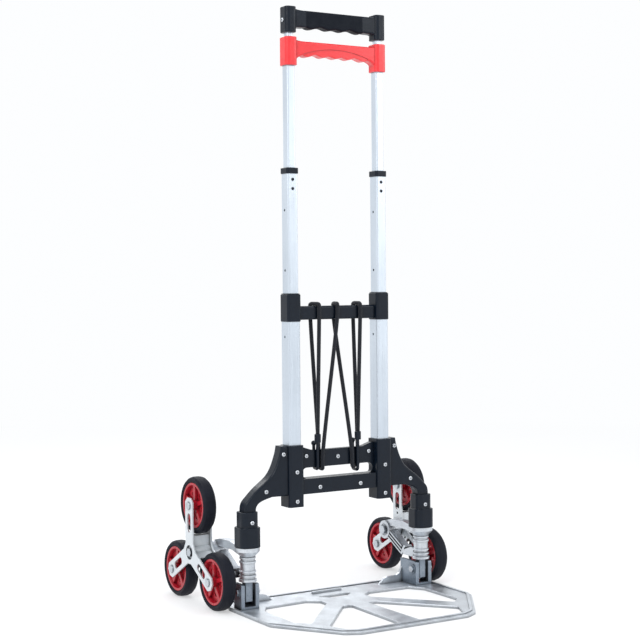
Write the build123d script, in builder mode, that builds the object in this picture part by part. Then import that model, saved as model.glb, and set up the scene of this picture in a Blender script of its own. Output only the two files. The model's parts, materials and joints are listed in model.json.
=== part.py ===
from build123d import *
import math
import os

os.makedirs("parts", exist_ok=True)

# Stair climbing trolley. +Z up, -Y towards the toe plate, +X the user's right. Millimetres.
# Heights are above the floor. Depths are counted from the plane of the tubes and posts.

# wheel clusters
WHEEL_R = 50.0
WHEEL_W = 24.0
WHEEL_X = 221.0
ARM_LEN = 82.0
STAR_Y = 106.0
STAR_Z = ARM_LEN / 2 + WHEEL_R
STAR_ARM_W = 28.0
STAR_END = 14.0
STAR_PLATE_T = 3.0
STAR_IN_X = 201.5
STAR_OUT_X = 240.0
STAR_SLOT_W = 13.0
STAR_SLOT_LEN = 33.0
STAR_SLOT_R = 52.0
STAR_TIP_CHAMFER = 8.0
STAR_ROOT_R = 11.0
CORE_R = 30.0
CORE_ARM_W = 21.0
CORE_WALL = 3.5
CORE_OVERLAP = 0.5
CORE_DRUM_R = 16.0
RECESS_R = 12.5
RECESS_D = 2.0
INNER_HOLE_R = 2.4
INNER_HOLE_CIRCLE_R = 29.0
AXLE_R = 6.0
BOLT_R = 4.0
RUN_GAP = 0.05
SPOKES = 5
RIM_R = 39.5
RIM_IN_R = 33.5
HUB_BOSS_R = 9.5
HUB_BOSS_HALF = 15.6
WEB_HALF = 3.0
SPOKE_W = 7.0
SPOKE_H = 5.0
WEB_HOLE_R = 4.5
WEB_HOLE_CIRCLE_R = 21.5
BOLT_HEAD_R = 7.0
BOLT_HEAD_H = 2.6
BOLT_NUT_H = 3.6

# toe plate
PLATE_FRONT = 243.5
PLATE_REAR = 55.0
PLATE_T = 5.0
RIM_H = 1.5
RIM_W = 5.0
PLATE_CORNER = 20.0
PLATE_EAR_CORNER = 9.0
OPENING_CORNER = 5.0
RIB_Y = 38.0
RIB_HALF = 31.0
RIB_W = 5.0
RIB_H = 4.0
GUSSET_FRONT = 42.0
GUSSET_T = 5.0

# posts and tubes
POST_X = 181.0
POST_R = 8.0
POST_FLAT_W = 15.0
POST_FLAT_D = 12.0
POST_FLAT_TOP = 52.2
POST_FLAT_LOW = 17.0
TUBE_X = 91.5

# depth of the tubes' plane, which centres the whole depth on Y = 0
REAR_WHEEL_Y = STAR_Y + ARM_LEN * math.cos(math.pi / 6)
DEPTH_SHIFT = (PLATE_FRONT - REAR_WHEEL_Y - WHEEL_R) / 2

# hinge between the posts and the toe plate
HINGE_Y = 2.0
HINGE_Z = 34.0
HINGE_TOP = 48.5
HINGE_FRONT = -8.5
HINGE_REAR_IN = 41.0
HINGE_REAR_OUT = 18.0
HINGE_HALF = 17.3
HINGE_GAP_HALF = 10.5
HINGE_FLOOR_T = 4.5
HINGE_STOP_FRONT = 24.0
HINGE_STOP_T = 4.0
HINGE_STOP_H = 22.0
HINGE_STEP_D = 9.0
HINGE_LIP_R = 4.0
EYE_R = 9.0
EYE_H = 1.2
EYE_CLEAR_R = 9.5
PIN_R = 4.0
PIN_HEX_R = 6.2
PIN_HEX_H = 3.4

# wheel arms: pivot on the post, boss for the cluster axle, spring
PIVOT_LOW = 52.7
PIVOT_TOP = 111.1
BOSS_R = 17.0
BOSS_IN_X = 171.0
BOSS_OUT_X = 200.8
BOSS_RECESS_R = 11.0
BOSS_RECESS_D = 1.5
RIB_RISE = 3.0
SPRING_Y = 25.0
SPRING_Z = 62.5
SPRING_ROD_R = 4.2
SPRING_ROD_LOW_X = 175.0
SPRING_ROD_LEN = 18.0
WIRE_R = 1.6
COIL_R = 6.3
COIL_TURNS = 5
COIL_SQUEEZE = 0.97
AXLE_COLLAR_R = 10.0
AXLE_HEX_R = 8.4
AXLE_HEX_H = 5.0
AXLE_WASHER_R = 11.4
AXLE_WASHER_T = 1.4
AXLE_NUT_R = 8.0
AXLE_NUT_H = 4.4

# frame body
BODY_TOP = 280.0
BODY_LOW = 193.5
BAR_TOP = 268.5
COLUMN_LOW = 173.0
COLUMN_IN = 76.5
COLUMN_OUT = 106.5
COLUMN_FRONT = 17.5
COLUMN_REAR = 16.0
SHELL_D = 12.0
COLUMN_STEP = 0.5
BAR_FRONT = 4.0
BAR_REAR = 6.0
SLOT_X = 73.0
SLOT_LOW = 220.0
SLOT_TOP = 238.5
BAR_CUT_TOP = 256.0
ARM_RIM_R = 3.5
ARM_END_Z = 172.0
SLEEVE_STEP_Z = 145.5
SLEEVE_LOW_Z = 111.6
SLEEVE_TOP_HALF = 16.0
SLEEVE_TOP_CORNER = 10.0
SLEEVE_LOW_HALF = 19.5
SLEEVE_LOW_CORNER = 12.0
POST_TOP = SLEEVE_STEP_Z + 1.5

# pan-head screws
HEAD_R = 3.8
HEAD_H = 2.0
HEAD_ROUND = 1.4
SHANK_R = 1.7
CROSS_LEN = 3.6
CROSS_W = 0.9
CROSS_D = 1.1

# telescopic tubes: width, depth, wall, bottom, top
TUBE_A = (24.0, 26.0, 1.3, 178.0, 540.0)
TUBE_B = (20.6, 22.4, 1.3, 440.0, 757.0)
TUBE_C = (16.0, 17.6, 1.2, 650.0, 982.0)
TUBE_D = (12.0, 13.4, 1.2, 665.0, 1034.0)
TUBE_CORNER = 3.0
TUBE_BORE_CORNER = 1.8
BUSH_GAP = 0.2
DETENT_R = 2.2
BRACE_LOW = 494.5
BRACE_TOP = 541.5
BRACE_BAR_LOW = 497.0
BRACE_BAR_TOP = 521.0
BRACE_BAR_HALF_D = 7.5
BRACE_BAR_CORNER = 4.0
SOCKET_W = 27.0
SOCKET_D = 29.0
SOCKET_CORNER = 4.5
COLLAR_LOW = 750.0
COLLAR_TOP = 760.0
COLLAR_RIM = 3.0
PIN_HEIGHTS = (724.0, 740.0)
PIN_HEAD_R = 2.6
PIN_HEAD_H = 0.8

# handles: heights of the caps and grips; width and depth of the caps
RED_LOW = 936.0
RED_TOP = 985.0
RED_GRIP_LOW = 953.0
RED_GRIP_TOP = 979.0
RED_CAP = (23.0, 28.5)
BLACK_LOW = 992.5
BLACK_TOP = 1037.0
BLACK_GRIP_LOW = 1001.5
BLACK_GRIP_TOP = 1032.0
BLACK_CAP = (21.5, 27.0)
CAP_CORNER = 7.0
GRIP_HALF_D = 10.0
GRIP_ROUND = 3.5
GRIP_FLARE_LEN = 16.0
GRIP_FLARE_H = 2.5
RED_FINGERS = (5, 26.5)
BLACK_FINGERS = (4, 29.5)
ARCH_HALF = 66.0
ARCH_LOW = 957.5
ARCH_TOP = 968.5
ARCH_D = 1.2
GRIP_SEAM = 58.0
GRIP_SEAM_SHIFT = -3.0
HANDLE_SCREW_Z = 1014.0

# elastic cord
CORD_R = 3.5
CORD_GAP = 0.1
WRAP_GAP = 0.3
HOOK_R = 2.8
HOOK_GAP = 0.4
HOOK_KNOB_R = 4.6
HOOK_KNOB_Z = 279.0
PLUG_R = 5.7
PLUG_LEN = 15.0
PLUG_Z = 289.0
PLUG_Y = -8.4


def front(y):
    """Upright plane facing forward at depth y: local x is X, local y is height."""
    return Plane(origin=(0, DEPTH_SHIFT + y, 0), x_dir=(1, 0, 0), z_dir=(0, -1, 0))


def level(z):
    """Horizontal plane at height z, centred on the tubes."""
    return Plane(origin=(0, DEPTH_SHIFT, z))


def side(x):
    """Upright plane facing +X: local x is depth, local y is height."""
    return Plane(origin=(x, DEPTH_SHIFT, 0), x_dir=(0, 1, 0), z_dir=(1, 0, 0))


def save(name, shape):
    shape.label = name
    export_step(shape, f"parts/{name}.step")


def save_pair(name, right_shape):
    save(f"{name}_right", right_shape)
    save(f"{name}_left", mirror(right_shape, about=Plane.YZ))


def both(points):
    """The same points on the right and the left side."""
    return [(s * x, z) for x, z in points for s in (1, -1) if x or s > 0]


# ---------------------------------------------------------------- frame body shells
SCREWS_SHELL = both([(115, 266), (150, 204), (42, 204)])
SCREWS_COLUMN = both([(91.5, 234), (91.5, 183)])
SCREWS_BAR = [(-65, 259), (0, 254), (65, 259)]
SLEEVE_SCREW = (POST_X - 1, 154)
SCREWS_SLEEVE = both([SLEEVE_SCREW])


def body_outline():
    """Half outline of the body with the arm that sweeps out to the post, mirrored."""
    with BuildLine() as half:
        Polyline((0, BAR_TOP), (52, BAR_TOP), (70, 274.5), (COLUMN_IN, 274.5),
                 (COLUMN_IN, BODY_TOP), (119, BODY_TOP))
        Spline((119, BODY_TOP), (125.5, 255.5), (138.5, 231), (163.5, 211),
               (183.5, 192.5), (191, ARM_END_Z), tangents=((0.12, -1), (0, -1)))
        Line((191, ARM_END_Z), (169, ARM_END_Z))
        Spline((169, ARM_END_Z), (160.5, 186.5), (141, BODY_LOW - 0.8),
               (COLUMN_OUT, BODY_LOW), tangents=((0, 1), (-1, 0)))
        Line((COLUMN_OUT, BODY_LOW), (0, BODY_LOW))
        mirror(about=Plane.YZ)
    return half.line


def shell(column_depth, bar_depth):
    """The forward half shell of the body, split at the plane of the tubes."""
    with BuildPart() as body:
        with BuildSketch(front(0)):
            with BuildLine():
                add(body_outline())
            make_face()
        extrude(amount=SHELL_D)
        with BuildSketch(front(-bar_depth)):
            with Locations((0, BAR_CUT_TOP)):
                Rectangle(2 * COLUMN_IN, 2 * (BAR_CUT_TOP - SLOT_LOW))
        extrude(amount=SHELL_D, mode=Mode.SUBTRACT)
        with BuildSketch(level(COLUMN_LOW)):
            with Locations((TUBE_X, 0), (-TUBE_X, 0)):
                RectangleRounded(COLUMN_OUT - COLUMN_IN, 2 * column_depth,
                                 column_depth - SHELL_D - COLUMN_STEP)
            with Locations((0, column_depth)):
                Rectangle(3 * COLUMN_OUT, 2 * column_depth, mode=Mode.SUBTRACT)
        extrude(amount=BODY_TOP - COLUMN_LOW)
        arm_rims = [e for e in body.edges()
                    if abs(e.center().X) > COLUMN_OUT + 1 and e.center().Z > ARM_END_Z + 1
                    and abs(e.center().Y - (DEPTH_SHIFT - SHELL_D)) < 0.01]
        fillet(arm_rims, radius=ARM_RIM_R)
        with BuildSketch(front(0)):
            with Locations((0, (SLOT_LOW + SLOT_TOP) / 2)):
                SlotOverall(2 * SLOT_X, SLOT_TOP - SLOT_LOW)
        extrude(amount=SHELL_D * 2, mode=Mode.SUBTRACT)
        with BuildSketch(level(TUBE_A[3])):
            with Locations((TUBE_X, 0), (-TUBE_X, 0)):
                RectangleRounded(TUBE_A[0], TUBE_A[1], TUBE_CORNER)
        extrude(amount=BODY_TOP, mode=Mode.SUBTRACT)
        with BuildSketch(front(0)):
            with Locations(SCREWS_SHELL + SCREWS_COLUMN + SCREWS_BAR):
                Circle(SHANK_R + RUN_GAP)
        extrude(amount=COLUMN_FRONT * 2, mode=Mode.SUBTRACT)
    return body.part


save("frame_shell_front", shell(COLUMN_FRONT, BAR_FRONT))
save("frame_shell_rear", mirror(shell(COLUMN_REAR, BAR_REAR), about=front(0)))


# ---------------------------------------------------------------- frame screws
def pan_screws(points, face_depth, shank):
    """Cross-recess pan-head screws whose heads sit on a face at the given forward depth."""
    with BuildPart() as screws:
        with BuildSketch(front(-face_depth)):
            with Locations(points):
                Circle(HEAD_R)
        extrude(amount=HEAD_H)
        crowns = screws.faces().sort_by(Axis.Y)[:len(points)]
        fillet([e for f in crowns for e in f.edges()], radius=HEAD_ROUND)
        with BuildSketch(front(-face_depth)):
            with Locations(points):
                Circle(SHANK_R)
        extrude(amount=-shank)
        with BuildSketch(front(-face_depth - HEAD_H)):
            with Locations(points):
                Rectangle(CROSS_LEN, CROSS_W)
                Rectangle(CROSS_W, CROSS_LEN)
        extrude(amount=-CROSS_D, mode=Mode.SUBTRACT)
    return screws.part


screw_sets = (pan_screws(SCREWS_SHELL, SHELL_D, 10)
              + pan_screws(SCREWS_COLUMN, COLUMN_FRONT, 4)
              + pan_screws(SCREWS_BAR, BAR_FRONT, 8)
              + pan_screws(SCREWS_SLEEVE, SLEEVE_TOP_HALF, 6))
save("frame_screws", screw_sets)

# ---------------------------------------------------------------- post sleeves
with BuildPart() as post_sleeve:
    with BuildSketch(level(SLEEVE_STEP_Z)):
        with Locations((POST_X, 0)):
            RectangleRounded(2 * SLEEVE_TOP_HALF, 2 * SLEEVE_TOP_HALF, SLEEVE_TOP_CORNER)
    extrude(amount=ARM_END_Z - SLEEVE_STEP_Z)
    with BuildSketch(level(SLEEVE_LOW_Z)):
        with Locations((POST_X, 0)):
            RectangleRounded(2 * SLEEVE_LOW_HALF, 2 * SLEEVE_LOW_HALF, SLEEVE_LOW_CORNER)
    extrude(amount=SLEEVE_STEP_Z - SLEEVE_LOW_Z)
    tops = post_sleeve.faces().filter_by(Axis.Z)
    fillet([e for f in tops for e in f.edges() if f.center().Z > SLEEVE_LOW_Z + 1], radius=1.2)
    with BuildSketch(level(SLEEVE_LOW_Z)):
        with Locations((POST_X, 0)):
            Circle(POST_R)
    extrude(amount=ARM_END_Z - SLEEVE_LOW_Z, mode=Mode.SUBTRACT)
    with BuildSketch(front(0)):
        with Locations(SLEEVE_SCREW):
            Circle(SHANK_R + RUN_GAP)
    extrude(amount=SLEEVE_LOW_HALF, mode=Mode.SUBTRACT)
save_pair("post_sleeve", post_sleeve.part)

# ---------------------------------------------------------------- posts
with BuildPart() as post:
    with BuildSketch(level(POST_FLAT_TOP)):
        with Locations((POST_X, 0)):
            Circle(POST_R)
    extrude(amount=POST_TOP - POST_FLAT_TOP)
    with BuildSketch(level(POST_FLAT_LOW)):
        with Locations((POST_X, HINGE_Y / 2)):
            RectangleRounded(POST_FLAT_W, POST_FLAT_D, 2)
    extrude(amount=POST_FLAT_TOP - POST_FLAT_LOW)
    feet = post.faces().filter_by(Axis.Z).sort_by(Axis.Z)[0]
    fillet(feet.edges(), radius=1.5)
    with BuildSketch(side(POST_X)):
        with Locations((HINGE_Y, HINGE_Z)):
            Circle(PIN_R + RUN_GAP)
    extrude(amount=POST_FLAT_W, both=True, mode=Mode.SUBTRACT)
save_pair("post", post.part)


# ---------------------------------------------------------------- telescopic tubes
def tube(spec, holes):
    """Rectangular tube with rounded corners and cross holes through the side walls."""
    width, depth, wall, low, top = spec
    with BuildPart() as stage:
        with BuildSketch(level(low)):
            with Locations((TUBE_X, 0)):
                RectangleRounded(width, depth, TUBE_CORNER)
                RectangleRounded(width - 2 * wall, depth - 2 * wall, TUBE_BORE_CORNER,
                                 mode=Mode.SUBTRACT)
        extrude(amount=top - low)
        if holes:
            with BuildSketch(side(TUBE_X)):
                with Locations([(0, z) for z in holes]):
                    Circle(DETENT_R)
            extrude(amount=width, both=True, mode=Mode.SUBTRACT)
    return stage.part


save_pair("stage1_tube", tube(TUBE_A, (468,)))
save_pair("stage2_tube", tube(TUBE_B, (583, 687)))
save_pair("stage3_tube", tube(TUBE_C, ()))
save_pair("stage4_tube", tube(TUBE_D, ()))


def clear(spec):
    """Width and depth of the hole in which a tube slides."""
    return (spec[0] + 2 * BUSH_GAP, spec[1] + 2 * BUSH_GAP)


# the slide bushes stand on the ends of the outer tubes, just proud of the brace
BUSH_PROUD = 1.5
with BuildPart() as stage1_bushes:
    with BuildSketch(level(TUBE_A[4])):
        with Locations((TUBE_X, 0), (-TUBE_X, 0)):
            RectangleRounded(TUBE_A[0], TUBE_A[1], TUBE_CORNER)
            RectangleRounded(*clear(TUBE_B), TUBE_CORNER, mode=Mode.SUBTRACT)
    extrude(amount=BRACE_TOP - TUBE_A[4] + BUSH_PROUD)
save("stage1_bushes", stage1_bushes.part)

with BuildPart() as stage2_collar:
    with BuildSketch(level(COLLAR_LOW)):
        with Locations((TUBE_X, 0)):
            RectangleRounded(TUBE_B[0] + COLLAR_RIM, TUBE_B[1] + COLLAR_RIM, TUBE_CORNER + 1)
    extrude(amount=COLLAR_TOP - COLLAR_LOW)
    fillet(stage2_collar.faces().filter_by(Axis.Z).edges(), radius=1)
    with BuildSketch(level(COLLAR_LOW)):
        with Locations((TUBE_X, 0)):
            RectangleRounded(TUBE_B[0], TUBE_B[1], TUBE_CORNER)
    extrude(amount=TUBE_B[4] - COLLAR_LOW, mode=Mode.SUBTRACT)
    with BuildSketch(level(COLLAR_LOW)):
        with Locations((TUBE_X, 0)):
            RectangleRounded(*clear(TUBE_C), TUBE_CORNER)
    extrude(amount=COLLAR_TOP - COLLAR_LOW, mode=Mode.SUBTRACT)
save_pair("stage2_collar", stage2_collar.part)

with BuildPart() as stage2_pins:
    with BuildSketch(front(-TUBE_B[1] / 2)):
        with Locations(both([(TUBE_X, z) for z in PIN_HEIGHTS])):
            Circle(PIN_HEAD_R)
    extrude(amount=PIN_HEAD_H)
    fillet(stage2_pins.faces().sort_by(Axis.Y)[:4].edges(), radius=0.5)
save("stage2_pins", stage2_pins.part)

# ---------------------------------------------------------------- brace between the outer tubes
with BuildPart() as brace:
    with BuildSketch(side(0)):
        with Locations((0, (BRACE_BAR_LOW + BRACE_BAR_TOP) / 2)):
            RectangleRounded(2 * BRACE_BAR_HALF_D, BRACE_BAR_TOP - BRACE_BAR_LOW, BRACE_BAR_CORNER)
    extrude(amount=TUBE_X, both=True)
    with BuildSketch(level(BRACE_LOW)):
        with Locations((TUBE_X, 0), (-TUBE_X, 0)):
            RectangleRounded(SOCKET_W, SOCKET_D, SOCKET_CORNER)
    extrude(amount=BRACE_TOP - BRACE_LOW)
    ends = brace.faces().filter_by(Axis.Z)
    fillet([e for f in ends for e in f.edges() if f.area > 300 and f.center().Z > BRACE_TOP - 1
            or f.center().Z < BRACE_LOW + 1], radius=1.2)
    with BuildSketch(level(BRACE_LOW)):
        with Locations((TUBE_X, 0), (-TUBE_X, 0)):
            RectangleRounded(TUBE_A[0], TUBE_A[1], TUBE_CORNER)
    extrude(amount=BRACE_TOP - BRACE_LOW, mode=Mode.SUBTRACT)
save("brace", brace.part)


# ---------------------------------------------------------------- elastic cord and its hooks
def tangent_path(points, radii):
    """Wire of straight runs joined by tangent arcs; radii has one value per inner point."""
    vectors = [Vector(x, DEPTH_SHIFT + y, z) for x, y, z in points]
    start = vectors[0]
    with BuildLine() as path:
        for before, corner, after, radius in zip(vectors, vectors[1:], vectors[2:], radii):
            into = (before - corner).normalized()
            out = (after - corner).normalized()
            half_angle = math.acos(max(-1.0, min(1.0, into.dot(out)))) / 2
            setback = radius / math.tan(half_angle)
            bisector = (into + out).normalized()
            middle = corner + bisector * (radius / math.sin(half_angle) - radius)
            Line(start, corner + into * setback)
            ThreePointArc(corner + into * setback, middle, corner + out * setback)
            start = corner + out * setback
        Line(start, vectors[-1])
    return path.wires()[0]


CORD_FRONT = -(BRACE_BAR_HALF_D + CORD_R + CORD_GAP)
CORD_REAR = BRACE_BAR_HALF_D + CORD_R + CORD_GAP
CORD_OVER = BRACE_BAR_TOP + CORD_R + CORD_GAP
WRAP_FRONT = -(BAR_FRONT + CORD_R + WRAP_GAP)
WRAP_REAR = BAR_REAR + CORD_R + WRAP_GAP
WRAP_LOW = SLOT_TOP - CORD_R - WRAP_GAP
WRAP_HIGH = 266.0
BRACE_EDGE = BRACE_BAR_LOW + 1.5
cord_points = [
    (-44, PLUG_Y, PLUG_Z), (-40.5, CORD_FRONT, BRACE_EDGE), (-40, CORD_FRONT, CORD_OVER),
    (-46, CORD_REAR, CORD_OVER), (-45, CORD_REAR, BRACE_EDGE),
    (-30, WRAP_REAR, WRAP_HIGH), (-31, WRAP_REAR, WRAP_LOW), (-34.5, WRAP_FRONT, WRAP_LOW),
    (-33, WRAP_FRONT, WRAP_HIGH), (-4, CORD_FRONT, BRACE_EDGE), (-1, CORD_FRONT, CORD_OVER),
    (1, CORD_REAR, CORD_OVER), (3, CORD_REAR, BRACE_EDGE),
    (27, WRAP_FRONT, WRAP_HIGH), (28.5, WRAP_FRONT, WRAP_LOW), (50.5, WRAP_REAR, WRAP_LOW),
    (51, WRAP_REAR, WRAP_HIGH), (44, CORD_REAR, BRACE_EDGE), (43.5, CORD_REAR, CORD_OVER),
    (45, CORD_FRONT, CORD_OVER), (44.7, CORD_FRONT, BRACE_EDGE), (39.5, PLUG_Y, PLUG_Z)]
BEND = 30
WRAP_BEND = 3.7
OVER_BEND = 5.5
cord_radii = [BEND, OVER_BEND, OVER_BEND, BEND, BEND, WRAP_BEND, WRAP_BEND, BEND, BEND,
              OVER_BEND, OVER_BEND, BEND, BEND, WRAP_BEND, WRAP_BEND, BEND, BEND,
              OVER_BEND, OVER_BEND, BEND]
cord_path = tangent_path(cord_points, cord_radii)
with BuildPart() as bungee_cord:
    add(cord_path)
    with BuildSketch(Plane(origin=cord_path @ 0, z_dir=cord_path % 0)):
        Circle(CORD_R)
    sweep(transition=Transition.ROUND)
save("bungee_cord", bungee_cord.part)
print("cord length mm", round(cord_path.length, 1), "volume", round(bungee_cord.part.volume),
      "expected", round(cord_path.length * math.pi * CORD_R ** 2))


def bungee_hook(front_x, rear_x, under_z, rear_y):
    """Moulded hook: ribbed plug on the cord end and a J that holds the lower bar of the body."""
    neck = PLUG_Z - 6
    hook_front = -(BAR_FRONT + HOOK_R + HOOK_GAP)
    path = tangent_path(
        [(front_x, PLUG_Y, neck), (front_x, hook_front, WRAP_HIGH),
         (front_x + 0.3, hook_front, under_z), (rear_x, rear_y, under_z),
         (rear_x, rear_y, HOOK_KNOB_Z)],
        [12, 4.5, 4.5])
    with BuildPart() as hook:
        add(path)
        with BuildSketch(Plane(origin=path @ 0, z_dir=path % 0)):
            Circle(HOOK_R)
        sweep(transition=Transition.ROUND)
        with Locations((rear_x, DEPTH_SHIFT + rear_y, HOOK_KNOB_Z)):
            Sphere(HOOK_KNOB_R)
        with BuildSketch(Plane(origin=(front_x, DEPTH_SHIFT + PLUG_Y, neck - 1))):
            Circle(PLUG_R)
        extrude(amount=PLUG_LEN)
        fillet(hook.faces().filter_by(Axis.Z).sort_by(Axis.Z)[-1].edges(), radius=2)
        with BuildSketch(Plane(origin=(front_x, DEPTH_SHIFT + PLUG_Y, PLUG_Z - 1))):
            Circle(CORD_R + WRAP_GAP)
        extrude(amount=PLUG_LEN + 1, mode=Mode.SUBTRACT)
    return hook.part


save("bungee_hook_left", bungee_hook(-44, -41.5, SLOT_TOP - HOOK_R - HOOK_GAP,
                                     BAR_REAR + HOOK_R + 0.5))
save("bungee_hook_right", bungee_hook(39.5, 41, SLOT_TOP - 2 * CORD_R - HOOK_R - 1,
                                      BAR_REAR + HOOK_R + 2.5))

# ---------------------------------------------------------------- lower handle
def handle_blank(low, top, grip_low, grip_top, cap, fingers):
    """Cap sockets on both tubes joined by a grip with finger hollows along its underside."""
    crest_count, pitch = fingers
    inner_x = TUBE_X - cap[0] / 2 + 3
    cap_z = low + 4
    root_z = grip_low + 1.5
    flare_x, flare_z = inner_x - GRIP_FLARE_LEN, grip_top + GRIP_FLARE_H
    crest_x = [(i - (crest_count - 1) / 2) * pitch for i in range(crest_count)]
    hollow_x = [x + pitch / 2 for x in crest_x[:-1]]
    with BuildPart() as handle:
        with BuildSketch(front(0)):
            with BuildLine():
                under = sorted([(x, grip_low) for x in crest_x]
                               + [(x, grip_low + 2 + 0.04 * abs(x)) for x in hollow_x])
                outer = crest_x[0] - pitch / 2
                Spline((-inner_x, cap_z), (outer, root_z), tangents=((0.2, 1), (1, 0.25)))
                Spline((outer, root_z), *under, (-outer, root_z))
                Spline((-outer, root_z), (inner_x, cap_z), tangents=((1, -0.25), (0.2, -1)))
                Line((inner_x, cap_z), (inner_x, flare_z))
                Spline((inner_x, flare_z), (flare_x, grip_top), tangents=((-1, -0.35), (-1, 0)))
                Line((flare_x, grip_top), (-flare_x, grip_top))
                Spline((-flare_x, grip_top), (-inner_x, flare_z), tangents=((-1, 0), (-1, 0.35)))
                Line((-inner_x, flare_z), (-inner_x, cap_z))
            make_face()
        extrude(amount=GRIP_HALF_D, both=True)
        faces = handle.faces().sort_by(Axis.Y)
        fillet(faces[0].edges() + faces[-1].edges(), radius=GRIP_ROUND)
        with BuildSketch(level(low)):
            with Locations((TUBE_X, 0), (-TUBE_X, 0)):
                RectangleRounded(cap[0], cap[1], CAP_CORNER)
        extrude(amount=top - low)
        caps = handle.faces().filter_by(Axis.Z).sort_by(Axis.Z)
        fillet([e for f in (caps[:2] + caps[-2:]) for e in f.edges()], radius=1.4)
    return handle.part


with BuildPart() as lower_handle:
    add(handle_blank(RED_LOW, RED_TOP, RED_GRIP_LOW, RED_GRIP_TOP, RED_CAP, RED_FINGERS))
    for plane_y, sign in ((-GRIP_HALF_D, -1), (GRIP_HALF_D, 1)):
        with BuildSketch(front(plane_y)):
            with BuildLine():
                ThreePointArc((-ARCH_HALF, ARCH_LOW), (0, ARCH_TOP), (ARCH_HALF, ARCH_LOW))
                Polyline((ARCH_HALF, ARCH_LOW), (ARCH_HALF, RED_LOW), (-ARCH_HALF, RED_LOW),
                         (-ARCH_HALF, ARCH_LOW))
            make_face()
        extrude(amount=sign * ARCH_D, mode=Mode.SUBTRACT)
    with BuildSketch(level(RED_LOW)):
        with Locations((TUBE_X, 0), (-TUBE_X, 0)):
            RectangleRounded(TUBE_C[0], TUBE_C[1], TUBE_CORNER)
    extrude(amount=TUBE_C[4] - RED_LOW, mode=Mode.SUBTRACT)
    with BuildSketch(level(RED_LOW)):
        with Locations((TUBE_X, 0), (-TUBE_X, 0)):
            RectangleRounded(*clear(TUBE_D), TUBE_CORNER)
    extrude(amount=RED_TOP - RED_LOW, mode=Mode.SUBTRACT)
save("lower_handle", lower_handle.part)

# ---------------------------------------------------------------- upper handle, grip and screws
upper_blank = handle_blank(BLACK_LOW, BLACK_TOP, BLACK_GRIP_LOW, BLACK_GRIP_TOP, BLACK_CAP,
                           BLACK_FINGERS)
with BuildPart() as grip_zone:
    with Locations((GRIP_SEAM_SHIFT, DEPTH_SHIFT, HANDLE_SCREW_Z)):
        Box(2 * GRIP_SEAM, 6 * GRIP_HALF_D, 8 * GRIP_HALF_D)
with BuildPart() as core_zone:
    with Locations((GRIP_SEAM_SHIFT, DEPTH_SHIFT, HANDLE_SCREW_Z + 3)):
        Box(2 * GRIP_SEAM, 12, 16)
upper_grip = (upper_blank & grip_zone.part) - core_zone.part
with BuildPart() as upper_handle:
    add((upper_blank - grip_zone.part) + core_zone.part)
    with BuildSketch(level(BLACK_LOW)):
        with Locations((TUBE_X, 0), (-TUBE_X, 0)):
            RectangleRounded(TUBE_D[0], TUBE_D[1], TUBE_CORNER)
    extrude(amount=TUBE_D[4] - BLACK_LOW, mode=Mode.SUBTRACT)
    with BuildSketch(side(0)):
        with Locations((0, HANDLE_SCREW_Z)):
            Circle(SHANK_R + RUN_GAP)
    extrude(amount=2 * TUBE_X, both=True, mode=Mode.SUBTRACT)
save("upper_handle", upper_handle.part)
save("upper_handle_grip", upper_grip)

CAP_FACE_X = TUBE_X + BLACK_CAP[0] / 2
with BuildPart() as upper_handle_screw:
    with BuildSketch(side(CAP_FACE_X)):
        with Locations((0, HANDLE_SCREW_Z)):
            Circle(HEAD_R)
    extrude(amount=HEAD_H)
    fillet(upper_handle_screw.faces().sort_by(Axis.X)[-1].edges(), radius=HEAD_ROUND)
    with BuildSketch(side(CAP_FACE_X)):
        with Locations((0, HANDLE_SCREW_Z)):
            Circle(SHANK_R)
    extrude(amount=-(CAP_FACE_X - TUBE_X - TUBE_D[0] / 2))
    with BuildSketch(side(CAP_FACE_X + HEAD_H)):
        with Locations((0, HANDLE_SCREW_Z)):
            Rectangle(CROSS_LEN, CROSS_W)
            Rectangle(CROSS_W, CROSS_LEN)
    extrude(amount=-CROSS_D, mode=Mode.SUBTRACT)
screw_right = upper_handle_screw.part
save("upper_handle_screws", screw_right + mirror(screw_right, about=Plane.YZ))

# ---------------------------------------------------------------- toe plate
outline = [(0, PLATE_REAR), (180, PLATE_REAR), (193, 51), (206, 13), (205.5, -121),
           (131, -230), (105, -PLATE_FRONT), (0, -PLATE_FRONT)]
side_opening = [(148, -5), (67, -1), (46, -17), (46, -38), (145, -152), (166, -131), (166, -32)]
front_opening = [(17, -72), (34, -72), (129, -183), (113, -222), (20, -227)]
rear_opening = [(-42, 15), (42, 15), (14, -7), (-14, -7)]


def plate_sketch(openings):
    """Plan of the plate, rounded at its corners, with or without its openings."""
    with BuildSketch(level(0)) as plan:
        for s in (1, -1):
            with BuildLine():
                Polyline(*[(s * x, y) for x, y in outline], close=True)
            make_face()
        corners = [v for v in plan.vertices() if abs(v.X) > 100 and v.Y < DEPTH_SHIFT - 50]
        fillet(corners, radius=PLATE_CORNER)
        ears = [v for v in plan.vertices() if abs(v.X) > POST_X + POST_R and v.Y > DEPTH_SHIFT]
        fillet(ears, radius=PLATE_EAR_CORNER)
        if openings:
            with BuildSketch(mode=Mode.PRIVATE) as holes:
                for s in (1, -1):
                    for shape in (side_opening, front_opening):
                        with BuildLine():
                            Polyline(*[(s * x, y) for x, y in shape], close=True)
                        make_face()
                with BuildLine():
                    Polyline(*rear_opening, close=True)
                make_face()
                fillet(holes.vertices(), radius=OPENING_CORNER)
            add(holes.sketch, mode=Mode.SUBTRACT)
    return plan.sketch


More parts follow.
